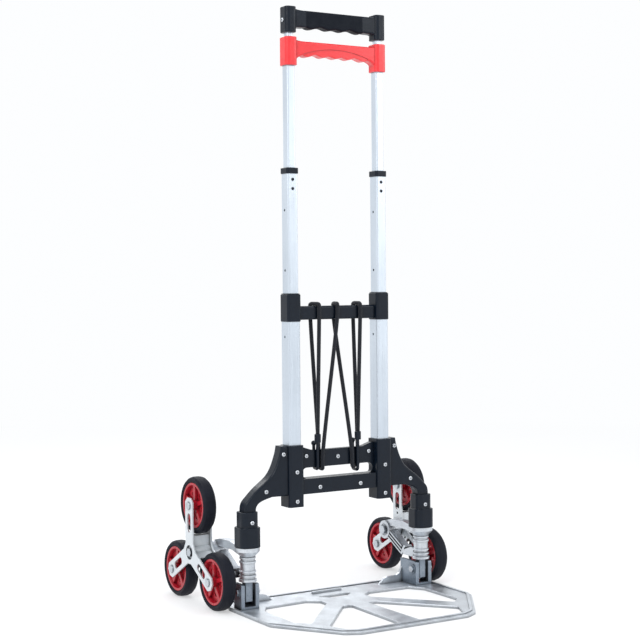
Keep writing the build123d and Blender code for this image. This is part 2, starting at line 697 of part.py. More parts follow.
GUSSET = [(112, 4), (124, 14.5), (132, 17), (152, 18), (159, 22), (163.7, 33), (163.7, 4)]
with BuildPart() as toe_plate:
    add(plate_sketch(True))
    extrude(amount=PLATE_T)
    fillet(toe_plate.faces().sort_by(Axis.Z)[-1].edges(), radius=1)
    with BuildSketch(level(0)):
        add(plate_sketch(False))
        offset(amount=-RIM_W, mode=Mode.SUBTRACT)
    extrude(amount=PLATE_T + RIM_H)
    with BuildSketch(level(PLATE_T - 1)):
        with Locations((0, RIB_Y)):
            SlotOverall(2 * RIB_HALF, RIB_W)
    extrude(amount=RIB_H + 1)
    for s in (1, -1):
        with BuildSketch(front(GUSSET_FRONT)):
            with BuildLine():
                Polyline(*[(s * x, z) for x, z in GUSSET], close=True)
            make_face()
        extrude(amount=GUSSET_T)
save("toe_plate", toe_plate.part)

# ---------------------------------------------------------------- hinge blocks and pins
CORNER = (Align.MIN, Align.MIN)
with BuildPart() as hinge_block:
    with BuildSketch(level(PLATE_T)):
        with Locations((POST_X - HINGE_HALF, HINGE_FRONT)):
            Rectangle(2 * HINGE_HALF, HINGE_REAR_OUT - HINGE_FRONT, align=CORNER)
            Rectangle(HINGE_HALF - HINGE_GAP_HALF, HINGE_REAR_IN - HINGE_FRONT, align=CORNER)
    extrude(amount=HINGE_TOP - PLATE_T)
    with BuildSketch(level(PLATE_T + HINGE_FLOOR_T)):
        with Locations((POST_X, 0)):
            Rectangle(2 * HINGE_GAP_HALF, 2 * HINGE_REAR_IN)
    extrude(amount=HINGE_TOP, mode=Mode.SUBTRACT)
    with BuildSketch(level(PLATE_T)):
        with Locations((POST_X - HINGE_GAP_HALF, HINGE_REAR_OUT - 1)):
            Rectangle(2 * HINGE_GAP_HALF, HINGE_STEP_D, align=CORNER)
    extrude(amount=HINGE_FLOOR_T)
    with BuildSketch(level(PLATE_T)):
        with Locations((POST_X - HINGE_GAP_HALF, HINGE_STOP_FRONT)):
            Rectangle(2 * HINGE_GAP_HALF, HINGE_STOP_T, align=CORNER)
    extrude(amount=HINGE_STOP_H)
    lips = hinge_block.edges().filter_by(Axis.X).filter_by(
        lambda e: e.center().Z > HINGE_TOP - 0.1 and e.center().Y < DEPTH_SHIFT)
    fillet(lips, radius=HINGE_LIP_R)
    with BuildSketch(side(POST_X)):
        with Locations((HINGE_Y, HINGE_Z)):
            Circle(EYE_R)
    extrude(amount=HINGE_HALF + EYE_H, both=True)
    with BuildSketch(side(POST_X)):
        with Locations((HINGE_Y, HINGE_Z)):
            Circle(EYE_CLEAR_R)
    extrude(amount=HINGE_GAP_HALF, both=True, mode=Mode.SUBTRACT)
    with BuildSketch(side(POST_X)):
        with Locations((HINGE_Y, HINGE_Z)):
            Circle(PIN_R)
    extrude(amount=HINGE_HALF + 5, both=True, mode=Mode.SUBTRACT)
save_pair("hinge_block", hinge_block.part)

with BuildPart() as hinge_pin:
    with BuildSketch(side(POST_X - HINGE_HALF - 2)):
        with Locations((HINGE_Y, HINGE_Z)):
            Circle(PIN_R)
    extrude(amount=2 * HINGE_HALF + 4)
    for sign in (1, -1):
        with BuildSketch(side(POST_X + sign * (HINGE_HALF + EYE_H))):
            with Locations((HINGE_Y, HINGE_Z)):
                RegularPolygon(PIN_HEX_R, 6)
        extrude(amount=sign * PIN_HEX_H)
pin_right = hinge_pin.part
save("hinge_pins", pin_right + mirror(pin_right, about=Plane.YZ))

# ---------------------------------------------------------------- wheel arm brackets
pivot_profile = [
    (POST_R + RUN_GAP, PIVOT_LOW), (15.6, PIVOT_LOW), (15.6, 56.5), (13.2, 58), (13.2, 60.5),
    (15, 61.2), (15, 64), (12.6, 65), (12.6, 67.5), (14.8, 68.2), (14.8, 71), (13, 72),
    (13, 84), (14.6, 84.8), (14.6, 87.5), (12.6, 88.3), (12.6, 91), (14.2, 91.8), (14.2, 94),
    (12.8, 95), (16, 98.5), (21.4, 104.5), (21.4, PIVOT_TOP), (POST_R + RUN_GAP, PIVOT_TOP)]
beam = [(4, 97), (4, 108), (24, 111), (48, 114.5), (86, 113.5), (112, 107), (112, 92),
        (92, 100), (40, 101), (22, 97)]
strut = [(100, 78), (52, 52.8), (40, 52.8), (34, 60), (76, 86), (100, 98)]
strut_rib = [(98, 78.5), (50, 52), (50, 52 + RIB_RISE), (98, 78.5 + RIB_RISE)]
foot = [(10, 54), (10, 70), (20, 71), (44, 62), (44, 54)]
with BuildPart() as wheel_arm:
    with BuildSketch(Plane(origin=(POST_X, DEPTH_SHIFT, 0), x_dir=(1, 0, 0), z_dir=(0, -1, 0))):
        with BuildLine():
            Polyline(*pivot_profile, close=True)
        make_face()
    revolve(axis=Axis((POST_X, DEPTH_SHIFT, 0), (0, 0, 1)))
    for outline_yz, low_x, high_x in ((beam, 174, 190), (strut, 175, 188), (foot, 171, 175.5)):
        with BuildSketch(side(low_x)):
            with BuildLine():
                Polyline(*outline_yz, close=True)
            make_face()
        extrude(amount=high_x - low_x)
    with BuildSketch(side(172)):
        for step in (0, 7, 14):
            with BuildLine():
                Polyline(*[(y, z + step) for y, z in strut_rib], close=True)
            make_face()
    extrude(amount=4)
    with BuildSketch(Plane(origin=(180.5, DEPTH_SHIFT + 43, 60), x_dir=(1, 0, 0),
                           z_dir=(0, 0.85, 0.53))):
        RectangleRounded(19, 19, 2)
    extrude(amount=5)
    with BuildSketch(side(BOSS_IN_X)):
        with Locations((STAR_Y, STAR_Z)):
            Circle(BOSS_R)
    extrude(amount=BOSS_OUT_X - BOSS_IN_X)
    boss_rims = wheel_arm.faces().filter_by(Axis.X).sort_by(Axis.X)
    fillet(boss_rims[-1].edges(), radius=1)
    with BuildSketch(side(BOSS_IN_X)):
        with Locations((STAR_Y, STAR_Z)):
            Circle(BOSS_RECESS_R)
    extrude(amount=BOSS_RECESS_D, mode=Mode.SUBTRACT)
    with BuildSketch(side(SPRING_ROD_LOW_X)):
        with Locations((SPRING_Y, SPRING_Z)):
            Circle(SPRING_ROD_R)
    extrude(amount=SPRING_ROD_LEN)
    with BuildSketch(side(BOSS_IN_X)):
        with Locations((STAR_Y, STAR_Z)):
            Circle(AXLE_R)
    extrude(amount=2 * (BOSS_OUT_X - BOSS_IN_X), mode=Mode.SUBTRACT)
    with BuildSketch(level(PIVOT_LOW)):
        with Locations((POST_X, 0)):
            Circle(POST_R + RUN_GAP)
    extrude(amount=PIVOT_TOP, mode=Mode.SUBTRACT)
    with BuildSketch(level(0)):
        with Locations((POST_X, 30)):
            Rectangle(100, 200)
    extrude(amount=PIVOT_LOW, mode=Mode.SUBTRACT)
save_pair("wheel_arm", wheel_arm.part)

with BuildPart() as arm_spring:
    for turn in range(COIL_TURNS):
        x = SPRING_ROD_LOW_X + 3 + turn * 2 * WIRE_R * COIL_SQUEEZE
        with BuildSketch(Plane(origin=(x, DEPTH_SHIFT + SPRING_Y, SPRING_Z), x_dir=(1, 0, 0),
                               z_dir=(0, -1, 0))):
            with Locations((0, COIL_R)):
                Circle(WIRE_R)
        revolve(axis=Axis((x, DEPTH_SHIFT + SPRING_Y, SPRING_Z), (1, 0, 0)))
save_pair("arm_spring", arm_spring.part)

AXLE_HEAD_X = BOSS_IN_X + BOSS_RECESS_D
with BuildPart() as cluster_axle:
    with BuildSketch(side(AXLE_HEAD_X)):
        with Locations((STAR_Y, STAR_Z)):
            Circle(AXLE_R)
    extrude(amount=STAR_OUT_X - AXLE_HEAD_X)
    with BuildSketch(side(AXLE_HEAD_X)):
        with Locations((STAR_Y, STAR_Z)):
            Circle(AXLE_COLLAR_R)
    extrude(amount=-BOSS_RECESS_D)
    with BuildSketch(side(BOSS_IN_X)):
        with Locations((STAR_Y, STAR_Z)):
            RegularPolygon(AXLE_HEX_R, 6)
    extrude(amount=-AXLE_HEX_H)
    with BuildSketch(side(STAR_OUT_X - STAR_PLATE_T - AXLE_WASHER_T)):
        with Locations((STAR_Y, STAR_Z)):
            Circle(AXLE_WASHER_R)
    extrude(amount=AXLE_WASHER_T)
    with BuildSketch(side(STAR_OUT_X - STAR_PLATE_T)):
        with Locations((STAR_Y, STAR_Z)):
            RegularPolygon(AXLE_NUT_R, 6)
    extrude(amount=AXLE_NUT_H)
    fillet(cluster_axle.faces().sort_by(Axis.X)[-1].edges(), radius=0.6)
save_pair("cluster_axle", cluster_axle.part)


# ---------------------------------------------------------------- wheel clusters
ARM_ANGLES = (90, 210, 330)


def at_angle(radius, degrees):
    """Depth and height of a point at a radius and angle about the cluster's centre."""
    a = math.radians(degrees)
    return (STAR_Y + radius * math.cos(a), STAR_Z + radius * math.sin(a))


WHEEL_SPOTS = [at_angle(ARM_LEN, a) for a in ARM_ANGLES]


def star_plate(low_x, centre_hole):
    """Three-armed plate with slotted arms, chamfered ends and wheel bolt holes."""
    with BuildPart() as plate:
        with BuildSketch(side(low_x)) as plan:
            for a in ARM_ANGLES:
                with Locations(Location((*at_angle((ARM_LEN + STAR_END) / 2, a), 0), (0, 0, a))):
                    Rectangle(ARM_LEN + STAR_END, STAR_ARM_W)
            tips = [v for v in plan.vertices()
                    if math.hypot(v.Y - DEPTH_SHIFT - STAR_Y, v.Z - STAR_Z) > ARM_LEN]
            chamfer(tips, length=STAR_TIP_CHAMFER)
            roots = [v for v in plan.vertices()
                     if math.hypot(v.Y - DEPTH_SHIFT - STAR_Y, v.Z - STAR_Z) < CORE_R]
            fillet(roots, radius=STAR_ROOT_R)
            for a in ARM_ANGLES:
                with Locations(Location((*at_angle(STAR_SLOT_R, a), 0), (0, 0, a))):
                    SlotOverall(STAR_SLOT_LEN, STAR_SLOT_W, mode=Mode.SUBTRACT)
            with Locations(WHEEL_SPOTS):
                Circle(BOLT_R, mode=Mode.SUBTRACT)
            with Locations((STAR_Y, STAR_Z)):
                Circle(centre_hole, mode=Mode.SUBTRACT)
        extrude(amount=STAR_PLATE_T)
        fillet(plate.faces().sort_by(Axis.X)[-1].edges(), radius=0.7)
    return plate.part


save_pair("cluster_plate_outer", star_plate(STAR_OUT_X - STAR_PLATE_T, RECESS_R))

CORE_LOW_X = STAR_IN_X + STAR_PLATE_T - CORE_OVERLAP
CORE_HIGH_X = STAR_OUT_X - STAR_PLATE_T
with BuildPart() as cluster_plate_inner:
    add(star_plate(STAR_IN_X, AXLE_R + RUN_GAP))
    with BuildSketch(side(CORE_LOW_X)) as core_plan:
        for a in ARM_ANGLES:
            with Locations(Location((*at_angle(CORE_R / 2, a), 0), (0, 0, a))):
                Rectangle(CORE_R, CORE_ARM_W)
        for a in ARM_ANGLES:
            with Locations(Location((*at_angle(CORE_R * 0.62, a), 0), (0, 0, a))):
                Rectangle(CORE_R * 0.45, CORE_ARM_W - 2 * CORE_WALL, mode=Mode.SUBTRACT)
        with Locations((STAR_Y, STAR_Z)):
            Circle(CORE_DRUM_R)
    extrude(amount=CORE_HIGH_X - CORE_LOW_X)
    with BuildSketch(side(STAR_IN_X)):
        with Locations((STAR_Y, STAR_Z)):
            Circle(AXLE_R + RUN_GAP)
    extrude(amount=STAR_OUT_X - STAR_IN_X, mode=Mode.SUBTRACT)
    with BuildSketch(side(CORE_HIGH_X - RECESS_D)):
        with Locations((STAR_Y, STAR_Z)):
            Circle(RECESS_R)
    extrude(amount=RECESS_D, mode=Mode.SUBTRACT)
    for a in ARM_ANGLES:
        with BuildSketch(side(STAR_IN_X)):
            with Locations(at_angle(INNER_HOLE_CIRCLE_R, a)):
                Circle(INNER_HOLE_R)
        extrude(amount=STAR_PLATE_T, mode=Mode.SUBTRACT)
save_pair("cluster_plate_inner", cluster_plate_inner.part)

with BuildPart() as wheel_bolts:
    with BuildSketch(side(STAR_IN_X)):
        with Locations(WHEEL_SPOTS):
            Circle(BOLT_R)
    extrude(amount=STAR_OUT_X - STAR_IN_X)
    with BuildSketch(side(STAR_OUT_X)):
        with Locations(WHEEL_SPOTS):
            Circle(BOLT_HEAD_R)
    extrude(amount=BOLT_HEAD_H)
    fillet(wheel_bolts.faces().sort_by(Axis.X)[-3:].edges(), radius=1.2)
    with BuildSketch(side(STAR_IN_X)):
        with Locations(WHEEL_SPOTS):
            RegularPolygon(BOLT_HEAD_R, 6)
    extrude(amount=-BOLT_NUT_H)
save_pair("wheel_bolts", wheel_bolts.part)

# ---------------------------------------------------------------- wheels
tyre_profile = [(RIM_R, -8.5), (RIM_R + 1.5, -11), (43, -WHEEL_W / 2), (46, -WHEEL_W / 2),
                (49, -8.5), (WHEEL_R, -4), (WHEEL_R, 4), (49, 8.5), (46, WHEEL_W / 2),
                (43, WHEEL_W / 2), (RIM_R + 1.5, 11), (RIM_R, 8.5)]
hub_profile = [(BOLT_R + RUN_GAP, -HUB_BOSS_HALF), (HUB_BOSS_R, -HUB_BOSS_HALF),
               (HUB_BOSS_R, -WEB_HALF), (RIM_IN_R, -WEB_HALF), (RIM_IN_R + 2, -10.5),
               (RIM_R, -10.5), (RIM_R, -8.5), (RIM_R, 8.5), (RIM_R, 10.5),
               (RIM_IN_R + 2, 10.5), (RIM_IN_R, WEB_HALF), (HUB_BOSS_R, WEB_HALF),
               (HUB_BOSS_R, HUB_BOSS_HALF), (BOLT_R + RUN_GAP, HUB_BOSS_HALF)]


def spun(profile, y, z):
    """Solid of revolution about the wheel axis at depth y and height z."""
    axis_origin = (WHEEL_X, DEPTH_SHIFT + y, z)
    with BuildPart() as turned:
        with BuildSketch(Plane(origin=axis_origin, x_dir=(0, 0, 1), z_dir=(0, -1, 0))):
            with BuildLine():
                Polyline(*profile, close=True)
            make_face()
        revolve(axis=Axis(axis_origin, (1, 0, 0)))
    return turned.part


def wheel_hub(y, z):
    """Dished hub with raised spokes on both faces."""
    with BuildPart() as hub:
        add(spun(hub_profile, y, z))
        for sign in (1, -1):
            with BuildSketch(side(WHEEL_X + sign * WEB_HALF)):
                with Locations((y, z)):
                    with PolarLocations(0, SPOKES, start_angle=90):
                        with Locations(((HUB_BOSS_R + RIM_IN_R) / 2, 0)):
                            Rectangle(RIM_IN_R - HUB_BOSS_R + 2, SPOKE_W)
            extrude(amount=sign * SPOKE_H)
        with BuildSketch(side(WHEEL_X)):
            with Locations((y, z)):
                with PolarLocations(WEB_HOLE_CIRCLE_R, SPOKES, start_angle=90 + 180 / SPOKES):
                    Circle(WEB_HOLE_R)
        extrude(amount=WEB_HALF * 2, both=True, mode=Mode.SUBTRACT)
    return hub.part


for number, (wheel_y, wheel_z) in zip(("top", "rear", "front"), [
        WHEEL_SPOTS[0], WHEEL_SPOTS[2], WHEEL_SPOTS[1]]):
    save_pair(f"tyre_{number}", spun(tyre_profile, wheel_y, wheel_z))
    save_pair(f"hub_{number}", wheel_hub(wheel_y, wheel_z))
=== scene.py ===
"""Looks of the stair climbing trolley: materials, braided cord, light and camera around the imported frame."""
import json
import math

import bpy
from mathutils import Matrix, Vector


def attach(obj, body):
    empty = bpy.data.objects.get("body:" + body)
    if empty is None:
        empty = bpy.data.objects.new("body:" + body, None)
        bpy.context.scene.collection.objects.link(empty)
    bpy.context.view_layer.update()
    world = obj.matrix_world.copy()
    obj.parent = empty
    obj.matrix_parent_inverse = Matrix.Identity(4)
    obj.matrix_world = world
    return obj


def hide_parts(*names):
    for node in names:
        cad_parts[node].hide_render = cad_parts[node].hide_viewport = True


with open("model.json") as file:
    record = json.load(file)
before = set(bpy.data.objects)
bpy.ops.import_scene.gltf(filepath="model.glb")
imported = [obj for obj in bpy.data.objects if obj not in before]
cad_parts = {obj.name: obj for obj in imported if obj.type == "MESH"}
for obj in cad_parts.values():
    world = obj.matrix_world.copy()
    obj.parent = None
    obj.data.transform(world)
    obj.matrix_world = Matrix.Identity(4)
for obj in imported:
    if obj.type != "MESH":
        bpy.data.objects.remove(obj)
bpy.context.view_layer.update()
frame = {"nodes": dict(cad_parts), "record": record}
scene = bpy.context.scene


# ---------------------------------------------------------------- materials
class Finish:
    """A Principled material whose patterns follow the piece's own coordinates, in metres."""

    def __init__(self, name, metallic=0.0, **sockets):
        self.material = bpy.data.materials.new(name)
        self.material.use_nodes = True
        self.tree = self.material.node_tree
        self.shader = self.tree.nodes["Principled BSDF"]
        self.shader.inputs["Metallic"].default_value = metallic
        for socket, value in sockets.items():
            self.shader.inputs[socket.replace("_", " ")].default_value = value
        self.coords = self.node("ShaderNodeTexCoord").outputs["Object"]
        self.normal = None

    def node(self, kind, **settings):
        made = self.tree.nodes.new(kind)
        for key, value in settings.items():
            setattr(made, key, value)
        return made

    def link(self, out, into):
        self.tree.links.new(out, into)

    def stretched(self, x, y, z):
        """Coordinates scaled per axis: a small number draws the pattern out along that axis."""
        mapping = self.node("ShaderNodeMapping")
        mapping.inputs["Scale"].default_value = (x, y, z)
        self.link(self.coords, mapping.inputs["Vector"])
        return mapping.outputs["Vector"]

    def noise(self, scale, detail=3.0, rough=0.55, vector=None, distortion=0.0):
        made = self.node("ShaderNodeTexNoise")
        for socket, value in (("Scale", scale), ("Detail", detail), ("Roughness", rough),
                              ("Distortion", distortion)):
            made.inputs[socket].default_value = value
        self.link(vector or self.coords, made.inputs["Vector"])
        return made.outputs["Fac"]

    def cells(self, scale, vector=None, feature="F1"):
        made = self.node("ShaderNodeTexVoronoi", feature=feature)
        made.inputs["Scale"].default_value = scale
        self.link(vector or self.coords, made.inputs["Vector"])
        return made.outputs["Distance"]

    def ramp(self, fac, stops):
        """stops: (position, colour or grey) pairs."""
        made = self.node("ShaderNodeValToRGB")
        elements = made.color_ramp.elements
        while len(elements) < len(stops):
            elements.new(0.5)
        for element, (position, colour) in zip(elements, stops):
            element.position = position
            rgb = colour if isinstance(colour, tuple) else (colour,) * 3
            element.color = (*rgb, 1.0)
        self.link(fac, made.inputs["Fac"])
        return made.outputs["Color"]

    def span(self, fac, low, high, start=0.3, end=0.7):
        """fac between start and end, turned into a value between low and high."""
        made = self.node("ShaderNodeMapRange")
        for socket, value in (("From Min", start), ("From Max", end), ("To Min", low), ("To Max", high)):
            made.inputs[socket].default_value = value
        self.link(fac, made.inputs["Value"])
        return made.outputs["Result"]

    def calc(self, operation, a, b=0.0):
        made = self.node("ShaderNodeMath", operation=operation)
        for value, into in zip((a, b), made.inputs):
            if isinstance(value, float):
                into.default_value = value
            else:
                self.link(value, into)
        return made.outputs["Value"]

    def mix(self, fac, a, b, blend="MIX"):
        made = self.node("ShaderNodeMix", data_type="RGBA", blend_type=blend)
        for out, into in ((fac, made.inputs[0]), (a, made.inputs[6]), (b, made.inputs[7])):
            if isinstance(out, (int, float)):
                into.default_value = out
            elif isinstance(out, tuple):
                into.default_value = (*out, 1.0)
            else:
                self.link(out, into)
        return made.outputs[2]

    def hollows(self, out, shade, reach=0.006):
        """out, with painted shade: darkened to the share shade in corners and recesses that ambient occlusion
        finds.
        """
        made = self.node("ShaderNodeAmbientOcclusion", samples=8)
        made.inputs["Distance"].default_value = reach
        open_air = self.span(made.outputs["AO"], 0.0, 1.0, 0.35, 0.95)
        return self.mix(open_air, self.mix(1.0, out, (shade,) * 3, "MULTIPLY"), out)

    def colour(self, out):
        self.link(out, self.shader.inputs["Base Color"])

    def rough(self, fac, low, high, start=0.3, end=0.7):
        self.link(self.span(fac, low, high, start, end), self.shader.inputs["Roughness"])

    def bump(self, height, depth, strength=1.0):
        """Adds relief of the given depth in metres on top of the relief made before it."""
        made = self.node("ShaderNodeBump")
        made.inputs["Distance"].default_value = depth
        made.inputs["Strength"].default_value = strength
        self.link(height, made.inputs["Height"])
        if self.normal:
            self.link(self.normal, made.inputs["Normal"])
        self.normal = made.outputs["Normal"]
        self.link(self.normal, self.shader.inputs["Normal"])


def moulded(name, dark, light, rough_low, rough_high, grain=0.00005, shade=0.55, **sockets):
    """Moulded plastic: spark-eroded grain, faint flow marks and rubbed patches, with painted shade in corners
    and recesses.
    """
    made = Finish(name, **sockets)
    flow = made.noise(9, 4, 0.6, distortion=0.8)
    rub = made.noise(60, 5, 0.7)
    middle = tuple((d + l) / 2 for d, l in zip(dark, light))
    skin = made.mix(made.ramp(rub, [(0.45, 0.0), (0.72, 0.6)]),
                    made.ramp(flow, [(0.3, dark), (0.7, middle)]), light)
    # painted shade: the skin colour darkened in corners and recesses
    made.colour(made.hollows(skin, shade))
    made.rough(rub, rough_high, rough_low)
    made.bump(made.cells(1100), grain)
    made.bump(flow, 0.00025)
    return made.material


def brushed(name, dark, light, rough_low, rough_high, along="z", streak=900, **sockets):
    """Drawn or brushed metal: fine streaks along one axis under a clear anodised skin, with painted shade in
    its recesses.
    """
    made = Finish(name, metallic=sockets.pop("metallic", 0.9), **sockets)
    scale = [1.0, 1.0, 1.0]
    scale["xyz".index(along)] = 0.012
    streaks = made.noise(streak, 3, 0.7, made.stretched(*scale))
    tone = made.noise(14, 3, 0.5, made.stretched(1, 1, 0.4))
    both = made.mix(0.6, streaks, tone)
    # painted shade: the streaked colour darkened in recesses such as screw recesses and holes
    made.colour(made.hollows(made.ramp(both, [(0.3, dark), (0.7, light)]), 0.12, 0.002))
    made.rough(streaks, rough_low, rough_high)
    made.bump(streaks, 0.00002)
    scuffs = made.noise(160, 6, 0.75, made.stretched(1, 1, 0.15), distortion=1.2)
    made.bump(made.ramp(scuffs, [(0.66, 0.0), (0.72, 1.0)]), 0.00003, 0.5)
    return made.material


def cast(name, dark, light, rough_low, rough_high, pits=0.00012, **sockets):
    """Die-cast metal: fine orange-peel skin, shallow pits, and hollows darkened with painted shade."""
    made = Finish(name, metallic=sockets.pop("metallic", 0.85), **sockets)
    skin = made.noise(420, 4, 0.6)
    cloud = made.noise(38, 4, 0.6)
    tone = made.mix(0.35, made.ramp(cloud, [(0.3, dark), (0.7, light)]),
                    made.ramp(skin, [(0.35, dark), (0.6, light)]))
    # painted shade: the colour darkened in corners and recesses
    made.colour(made.hollows(tone, 0.28, 0.009))
    made.rough(cloud, rough_low, rough_high)
    made.bump(skin, pits)
    made.bump(made.ramp(made.cells(260), [(0.0, 0.0), (0.18, 1.0)]), 0.00004)
    return made.material


def rubber(name, dark, light):
    """Solid rubber tyre: matt, dusty in patches, with fine scuffs."""
    made = Finish(name, Specular_IOR_Level=0.2)
    dust = made.noise(45, 6, 0.7)
    made.colour(made.ramp(dust, [(0.35, dark), (0.75, light)]))
    made.rough(dust, 0.5, 0.72)
    made.bump(made.noise(1500, 3, 0.6), 0.00008)
    made.bump(made.noise(140, 5, 0.7), 0.00012)
    return made.material


def weave(name):
    """Braided sheath, drawn from the UV map: U counts pitches along the cord, V strands around it."""
    made = Finish(name, Sheen_Weight=0.08, Sheen_Roughness=0.5, Specular_IOR_Level=0.3)
    uv = made.node("ShaderNodeUVMap", uv_map="braid").outputs["UV"]
    split = made.node("ShaderNodeSeparateXYZ")
    made.link(uv, split.inputs["Vector"])
    waves = []
    for way in ("ADD", "SUBTRACT"):
        phase = made.calc(way, split.outputs["X"], split.outputs["Y"])
        waves.append(made.calc("SINE", made.calc("MULTIPLY", phase, math.tau)))
    over = made.calc("MAXIMUM", waves[0], waves[1])
    fray = made.noise(2500, 3, 0.7)
    thread = made.ramp(fray, [(0.3, (0.004, 0.006, 0.011)), (0.8, (0.016, 0.020, 0.030))])
    made.colour(made.mix(made.span(over, 0.0, 1.0, -0.2, 0.8), (0.001, 0.002, 0.004), thread))
    made.rough(fray, 0.6, 0.85)
    made.bump(over, 0.0003)
    made.bump(fray, 0.0001)
    return made.material


FINISHES = {
    "black_plastic": moulded("black_plastic", (0.0012, 0.0045, 0.0110), (0.0050, 0.0105, 0.0200), 0.26, 0.42,
                             Specular_IOR_Level=0.2, Coat_Weight=0.12, Coat_Roughness=0.16),
    "black_grip": moulded("black_grip", (0.0015, 0.0035, 0.0085), (0.0050, 0.0080, 0.0140), 0.46, 0.64,
                          grain=0.00009, Specular_IOR_Level=0.14),
    "red_plastic": moulded("red_plastic", (0.72, 0.014, 0.020), (0.86, 0.030, 0.038), 0.26, 0.38,
                           shade=0.3, Specular_IOR_Level=0.4, Coat_Weight=0.5, Coat_Roughness=0.14),
    "hub_red": moulded("hub_red", (0.36, 0.008, 0.020), (0.50, 0.014, 0.028), 0.24, 0.38,
                       shade=0.3, Specular_IOR_Level=0.35, Coat_Weight=0.1, Coat_Roughness=0.14),
    "aluminium_tube": brushed("aluminium_tube", (0.54, 0.60, 0.67), (0.70, 0.77, 0.85), 0.26, 0.42),
    "cast_aluminium": cast("cast_aluminium", (0.46, 0.49, 0.53), (0.72, 0.76, 0.80), 0.30, 0.48),
    "pressed_aluminium": cast("pressed_aluminium", (0.64, 0.68, 0.71), (0.74, 0.78, 0.81), 0.40, 0.5,
                              0.00006, metallic=0.7),
    "zinc_steel": cast("zinc_steel", (0.34, 0.37, 0.41), (0.62, 0.66, 0.70), 0.22, 0.36, 0.00004,
                       metallic=1.0),
    "bright_steel": brushed("bright_steel", (0.48, 0.51, 0.55), (0.70, 0.73, 0.77), 0.16, 0.32,
                            streak=600, metallic=1.0),
    "dark_steel": cast("dark_steel", (0.05, 0.055, 0.064), (0.12, 0.125, 0.14), 0.3, 0.45, 0.00005,
                       metallic=1.0),
    "cord_weave": weave("cord_weave"),
    "tyre_rubber": rubber("tyre_rubber", (0.0020, 0.0030, 0.0080), (0.0080, 0.0100, 0.0180)),
}
# painted shade: a darker, bluer copy of the cast aluminium, standing in for the shade on the hinge blocks and
# posts between the plates
shaded_hinge_casting = cast("shaded_hinge_casting", (0.17, 0.205, 0.25), (0.33, 0.38, 0.44), 0.30, 0.46)
SHADED_NODE_FINISHES = {name: shaded_hinge_casting for name in ("hinge_block_left", "hinge_block_right",
                                                  "post_left", "post_right")}

# each node takes the finish of its slot, but the blocks and posts take a darker copy of the cast aluminium:
# painted shade
slot_of = {row["node"]: row["material_slot"] for row in frame["record"]["subparts"]}
for name, obj in frame["nodes"].items():
    finish = SHADED_NODE_FINISHES.get(name, FINISHES[slot_of[name]])
    if obj.material_slots:
        for place in obj.material_slots:
            place.link = "OBJECT"
            place.material = finish
    else:
        obj.data.materials.append(finish)


# ---------------------------------------------------------------- elastic cord
TUBE_PLANE_Y = 8.243  # depth of the tubes' plane in the frame, in millimetres


def mm(points):
    """Millimetres, with depth counted from the plane of the tubes, to metres in the frame."""
    return [Vector((x, y + TUBE_PLANE_Y, z)) / 1000 for x, y, z in points]


CORD_R = 0.0035
OVER_Z, EDGE_Z, SHOULDER_Z = 524.6, 498.5, 517.5
UNDER_Z, HIP_Z, WRAP_Z = 234.7, 240.0, 266.0
FRONT_Y, REAR_Y, WRAP_FRONT_Y, WRAP_REAR_Y = -11.1, 11.1, -7.8, 9.8
PLUG_Y, PLUG_Z = -8.4, 289


def over(x0, y0, x1, y1):
    """Up one face of the brace, across its top and down the other face."""
    return [(x0, y0, EDGE_Z), (x0, y0, SHOULDER_Z), (x0, y0, OVER_Z), ((x0 + x1) / 2, 0, OVER_Z),
            (x1, y1, OVER_Z), (x1, y1, SHOULDER_Z), (x1, y1, EDGE_Z)]


def under(x0, y0, x1, y1):
    """Down one side of the body's top bar, under it and up the other side."""
    return [(x0, y0, WRAP_Z), (x0, y0, HIP_Z), (x0, y0, UNDER_Z), ((x0 + x1) / 2, 1, UNDER_Z),
            (x1, y1, UNDER_Z), (x1, y1, HIP_Z), (x1, y1, WRAP_Z)]


cord_route = mm([(-44, PLUG_Y, PLUG_Z)]
                + over(-40.3, FRONT_Y, -45.5, REAR_Y)
                + under(-30.5, WRAP_REAR_Y, -33.8, WRAP_FRONT_Y)
                + over(-2.5, FRONT_Y, 2, REAR_Y)
                + under(27.8, WRAP_FRONT_Y, 50.8, WRAP_REAR_Y)
                + over(43.8, REAR_Y, 44.9, FRONT_Y)
                + [(39.5, PLUG_Y, PLUG_Z)])


def smooth_line(route):
    """Points of the smooth spline that the route controls."""
    curve = bpy.data.curves.new("line", "CURVE")
    curve.dimensions = "3D"
    curve.resolution_u = 16
    spline = curve.splines.new("NURBS")
    spline.points.add(len(route) - 1)
    for point, place in zip(spline.points, route):
        point.co = (*place, 1.0)
    spline.order_u = 3
    spline.use_endpoint_u = True
    holder = bpy.data.objects.new("line", curve)
    points = [v.co.copy() for v in bpy.data.meshes.new_from_object(holder).vertices]
    bpy.data.objects.remove(holder)
    return points


